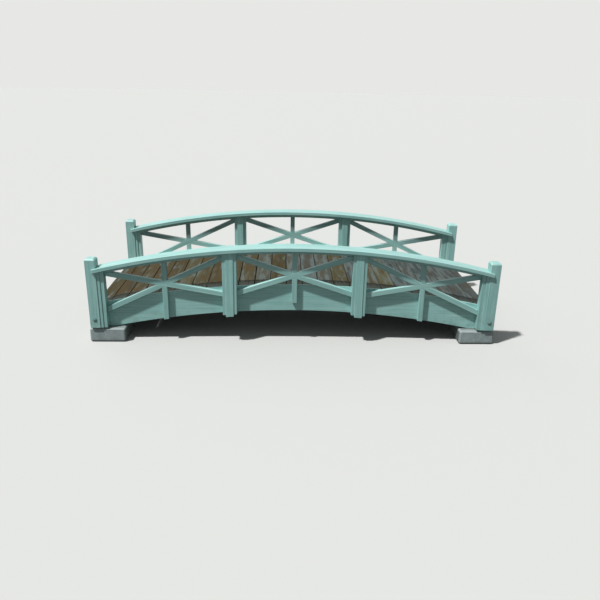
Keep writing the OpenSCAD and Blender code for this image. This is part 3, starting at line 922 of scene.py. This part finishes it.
class FOOTBRIDGE_OT_deck(bpy.types.Operator):
    """Builds the deck planks and the screws that hold them"""

    bl_idname = "footbridge.deck"
    bl_label = "Deck"

    def execute(self, context):
        sizes = context.scene.footbridge_sizes
        beam_centre = arc_of(cad_points("beam_back"))[0]
        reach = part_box("deck_middle")[1].y
        screws = []
        for node in ("deck_left", "deck_middle", "deck_right"):
            pairs, foot, thick = planks_of(node, beam_centre)
            planks = []
            for number, (first, last) in enumerate(pairs):
                name = f"{node} {number}"
                rng = seeded(name)
                middle = (first + last) / 2
                ground = foot * math.cos((last - first) / 2)
                half = foot * math.sin((last - first) / 2)
                trim = rng.uniform(-PLANK_TRIM, PLANK_TRIM, 2)
                length = reach + rng.uniform(-PLANK_SHORT, 0.0, 2)
                solid = bar(np.linspace(-length[0], length[1], PLANK_STATIONS),
                            box_profile((trim[0] - half, trim[1] + half), (0.0, thick)),
                            sizes.plank_round, PLANK_END_ROUND,
                            round_steps=3, flat_steps=8, end_steps=3)
                # Tones run from brown at the left to grey, by a sine of the plank's angle.
                tone = TONE_MEAN + TONE_SWING * math.sin(middle / DECK_ANGLE * TONE_TURN)
                tone += rng.uniform(-TONE_STRAY, TONE_STRAY)
                solid = grain_of(solid, name, float(np.clip(tone, 0, 1)))
                # Cup: the edges rise by the square of the distance from the middle line.
                # Twist: the ends lean opposite ways, in proportion to both distances.
                cup = rng.uniform(*PLANK_CUP) * sizes.plank_cup
                twist = rng.uniform(-1, 1) * PLANK_TWIST
                p = solid["points"]
                across, out = p[:, 1] / half, p[:, 0] / reach
                lift = cup * across**2 + twist * across * out + rng.uniform(*PLANK_LIFT)
                p[:, 2] += lift * (p[:, 2] > thick / 2)
                radial = (math.sin(middle), 0, math.cos(middle))
                tangent = (math.cos(middle), 0, -math.sin(middle))
                origin = (ground * math.sin(middle), 0,
                          beam_centre + ground * math.cos(middle))
                place = (((0, 1, 0), tangent, radial), origin)
                planks.append(placed(solid, *place))
                for aside in (-SCREW_ASIDE, SCREW_ASIDE):
                    for row in (-SCREW_ROW, 0, SCREW_ROW):
                        screws.append((place, (row, aside, thick), rng))
            piece_from("weathered_" + node, planks, "deck_timber", node)
        piece_from("deck_screws", [self.screw(sizes, *s) for s in screws], "zinc")
        return {"FINISHED"}

    def screw(self, sizes, place, spot, rng):
        """A flush screw head: rings of a low dome that turn down into a round recess."""
        aside, row = (rng.uniform(-stray, stray) for stray in SCREW_STRAY)
        profile = np.array(SCREW_PROFILE) * (sizes.screw_width / 2, 1)
        head = round_head(profile, np.tile([0.0, 1.0], (len(profile), 1)), sizes.screw_sides)
        head["points"] += np.array(spot) + (row, aside, 0)
        return placed(head, *place)


class FOOTBRIDGE_OT_handrails(bpy.types.Operator):
    """Builds the two flat handrails, rounded along their edges and notched round the posts"""

    bl_idname = "footbridge.handrails"
    bl_label = "Handrails"

    def execute(self, context):
        sizes = context.scene.footbridge_sizes
        for side in SIDES:
            node = "handrail_" + side
            low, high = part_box(node)
            centre, outer, inner = arc_of(cad_points(node))
            x = np.linspace(low.x, high.x, RAIL_STATIONS)
            corners = box_profile((low.y, high.y), [arc_height(x, centre, radius)
                                                    for radius in (inner, outer)])
            solid = bar(x, corners, sizes.rail_round, RAIL_END_ROUND,
                        round_steps=6, flat_steps=2, end_steps=3)
            solid = grain_of(solid, node)
            # The grain follows the arc: its depth is the distance from the arc's centre.
            p = solid["points"]
            solid["grain"][:, 2] = np.hypot(p[:, 0], p[:, 2] - centre) - outer + RAIL_PITH
            rooms = []
            for end, outward in zip(ENDS, (-1, 1)):
                post_low, post_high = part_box(f"end_post_{side}_{end}")
                face = (post_high if end == "left" else post_low).x
                rooms.append((sorted((face - outward * CLEARANCE, face + outward * ROOM)),
                              (post_low.y - CLEARANCE, post_high.y + CLEARANCE),
                              (post_low.z, post_high.z + ROOM)))
            cut_piece("painted_" + node, solid, rooms, "painted_timber", node)
            self.subrails(sizes.edge_round, side, centre)
        return {"FINISHED"}

    def subrails(self, ease, side, centre):
        """The bars under a handrail, one in each bay, between two arcs about its centre."""
        node = "subrails_" + side
        low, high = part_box(node)
        points = cad_points(node)
        radius = np.hypot(points[:, 0], points[:, 2] - centre)
        post = abs(cad_points(f"mid_post_{side}_right")[:, 0])
        end = abs(cad_points("bay_strips")[:, 0]).min()
        solids = []
        for first, last in ((-end, -post.max()), (-post.min(), post.min()), (post.max(), end)):
            x = np.linspace(first, last, SUBRAIL_STATIONS)
            arcs = [arc_height(x, centre, r) for r in (radius.min(), radius.max())]
            solid = bar(x, box_profile((low.y, high.y), arcs), ease, SUBRAIL_END_ROUND)
            solids.append(grain_of(solid, f"{node} {first:.3f}"))
        piece_from("painted_" + node, solids, "painted_timber", node)


class FOOTBRIDGE_OT_end_posts(bpy.types.Operator):
    """Builds the four end posts and the stepped strips beside them"""

    bl_idname = "footbridge.end_posts"
    bl_label = "End posts"

    def execute(self, context):
        ease = context.scene.footbridge_sizes.edge_round
        pieces = [(f"end_post_{side}_{end}", POST_EASE) for side in SIDES for end in ENDS]
        pieces += [("end_post_strips", STRIP_EASE), ("bay_strips", STRIP_EASE)]
        for node, share in pieces:
            eased_copy("painted_" + node, node, "painted_timber", ease * share, UPRIGHT)
        return {"FINISHED"}


class FOOTBRIDGE_OT_middle_posts(bpy.types.Operator):
    """Builds the middle posts, the battens on them and the inner posts behind them"""

    bl_idname = "footbridge.middle_posts"
    bl_label = "Middle posts"

    def execute(self, context):
        ease = context.scene.footbridge_sizes.edge_round
        posts = [f"mid_post_{side}_{end}" for side in SIDES for end in ENDS]
        for node in posts + ["mid_post_battens", "inner_posts"]:
            eased_copy("painted_" + node, node, "painted_timber", ease * STRIP_EASE, UPRIGHT)
        return {"FINISHED"}


class FOOTBRIDGE_OT_braces(bpy.types.Operator):
    """Builds the crossed braces and the uprights that meet their crossings"""

    bl_idname = "footbridge.braces"
    bl_label = "Braces and uprights"

    def execute(self, context):
        ease = context.scene.footbridge_sizes.edge_round
        for side in SIDES:
            for bay in BAYS:
                for way, axis in (("rising_brace", None), ("falling_brace", None),
                                  ("uprights", UPRIGHT)):
                    node = f"{way}_{side}_{bay}"
                    made = eased_copy("painted_" + node, node, "painted_timber", ease, axis)
                    # The braces and uprights take the painted shade under the rails.
                    takes_painted_shade = np.ones(len(made.data.vertices))
                    write_attributes(made.data, {"takes_painted_shade": takes_painted_shade})
        return {"FINISHED"}


class FOOTBRIDGE_OT_bolts(bpy.types.Operator):
    """Builds the coach bolts that hold the feet of the end posts to the beams"""

    bl_idname = "footbridge.bolts"
    bl_label = "Bolts"

    def execute(self, context):
        sizes = context.scene.footbridge_sizes
        solids = []
        for side, outward in zip(SIDES, (-1, 1)):
            for end in ENDS:
                low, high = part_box(f"end_post_{side}_{end}")
                face = low.y if side == "front" else high.y
                centre = ((low.x + high.x) / 2, face, low.z + sizes.bolt_height)
                solids.append(placed(self.bolt(sizes.bolt_width / 2),
                                     ((1, 0, 0), UPRIGHT, (0, outward, 0)), centre))
        piece_from("post_bolts", solids, "painted_steel")
        return {"FINISHED"}

    def bolt(self, r):
        """A washer and a dome: a profile of radius and height, turned round the bolt's axis.

        The dome's height is its own height times the square root of 1 - (radius share)^2.
        """
        dome = np.linspace(1, 0.08, DOME_RINGS)
        profile = np.concatenate([
            np.array(WASHER_PROFILE) * (r, 1),
            np.stack([r * dome, DOME_FOOT + DOME_RISE * np.sqrt(1 - dome**2)], 1)])
        slope = np.gradient(profile, axis=0)
        return round_head(profile, np.stack([slope[:, 1], -slope[:, 0]], 1), BOLT_SIDES)


class FOOTBRIDGE_OT_stage(bpy.types.Operator):
    """Sets the plain pale floor, the soft lamps, the background and the camera"""

    bl_idname = "footbridge.stage"
    bl_label = "Floor, light and camera"

    def execute(self, context):
        scene = context.scene
        self.floor(scene)
        for lamp in LAMPS:
            self.lamp(scene, *lamp)
        self.background(scene)
        self.camera(scene)
        scene.view_settings.view_transform = "Standard"
        return {"FINISHED"}

    def floor(self, scene):
        """A wide flat disc at the level that the bridge stands on."""
        angle = np.arange(FLOOR_SIDES) * 2 * math.pi / FLOOR_SIDES
        rim = np.stack([np.cos(angle), np.sin(angle), 0 * angle], 1) * FLOOR_RADIUS
        mesh = bpy.data.meshes.new("floor")
        mesh.from_pydata(rim - (0, 0, FLOOR_DROP), [], [list(range(FLOOR_SIDES))])
        mesh.materials.append(material_of("floor"))
        made = bpy.data.objects.new("floor", mesh)
        scene.collection.objects.link(made)

    def lamp(self, scene, name, strength, spread, towards):
        """A sun lamp whose light comes from the direction given, spread over an angle."""
        data = bpy.data.lights.new(name, "SUN")
        data.energy, data.angle = strength, math.radians(spread)
        made = bpy.data.objects.new(name, data)
        scene.collection.objects.link(made)
        made.matrix_world = Vector(towards).to_track_quat("Z", "Y").to_matrix().to_4x4()

    def background(self, scene):
        """Pale where it is seen or mirrored, and an even dim light everywhere else."""
        world = bpy.data.worlds.new("studio")
        scene.world = world
        world.use_nodes = True
        tree = world.node_tree
        tree.nodes.clear()
        tint = add(tree, "Mix", {SHARE: seen_or_mirrored(tree), UNDER: SOFT_LIGHT,
                                 OVER: linear("#e7e8e5")}, **COLOURS)[MIXED]
        made = add(tree, "Background", {"Color": tint, "Strength": 1.0})
        add(tree, "OutputWorld", {"Surface": made[0]})

    def camera(self, scene):
        """The viewpoint of the photograph: 2.3 m up, 6 m back, and 20 degrees down.

        The lens is the focal length as a share of the image's width, times the sensor's.
        """
        data = bpy.data.cameras.new("camera")
        data.sensor_width = SENSOR_WIDTH
        data.lens = FOCAL_PIXELS / IMAGE_PIXELS * SENSOR_WIDTH
        data.clip_start, data.clip_end = 0.1, 300
        made = bpy.data.objects.new("camera", data)
        scene.collection.objects.link(made)
        made.matrix_world = (Matrix.Translation(CAMERA_PLACE)
                             @ Matrix.Rotation(CAMERA_YAW, 4, "Z")
                             @ Matrix.Rotation(math.pi / 2 - CAMERA_PITCH, 4, "X")
                             @ Matrix.Rotation(CAMERA_ROLL, 4, "Z"))
        scene.camera = made


class FOOTBRIDGE_PT_panel(bpy.types.Panel):
    """Lists the sizes, the colours and the pieces of the footbridge"""

    bl_idname = "FOOTBRIDGE_PT_panel"
    bl_label = "Footbridge"
    bl_space_type = "VIEW_3D"
    bl_region_type = "UI"
    bl_category = "Footbridge"

    def draw(self, context):
        for group in (context.scene.footbridge_sizes, context.scene.footbridge_colours):
            box = self.layout.box()
            for name in group.bl_rna.properties.keys():
                if name not in ("rna_type", "name"):
                    box.prop(group, name)
        for operator in OPERATORS:
            self.layout.operator(operator.bl_idname)


OPERATORS = (
    FOOTBRIDGE_OT_sills, FOOTBRIDGE_OT_beams, FOOTBRIDGE_OT_deck, FOOTBRIDGE_OT_handrails,
    FOOTBRIDGE_OT_end_posts, FOOTBRIDGE_OT_middle_posts, FOOTBRIDGE_OT_braces,
    FOOTBRIDGE_OT_bolts, FOOTBRIDGE_OT_stage,
)
CLASSES = (FootbridgeSizes, FootbridgeColours) + OPERATORS + (FOOTBRIDGE_PT_panel,)


def register():
    """Registers every class and puts the two groups of properties on the scene."""
    for cls in CLASSES:
        bpy.utils.register_class(cls)
    bpy.types.Scene.footbridge_sizes = PointerProperty(type=FootbridgeSizes)
    bpy.types.Scene.footbridge_colours = PointerProperty(type=FootbridgeColours)


def unregister():
    """Takes the properties and the classes away again."""
    del bpy.types.Scene.footbridge_sizes
    del bpy.types.Scene.footbridge_colours
    for cls in reversed(CLASSES):
        bpy.utils.unregister_class(cls)


def main():
    """Builds the whole bridge and its stage."""
    register()
    for operator in OPERATORS:
        group, name = operator.bl_idname.split(".")
        getattr(getattr(bpy.ops, group), name)()


if __name__ == "__main__":
    main()
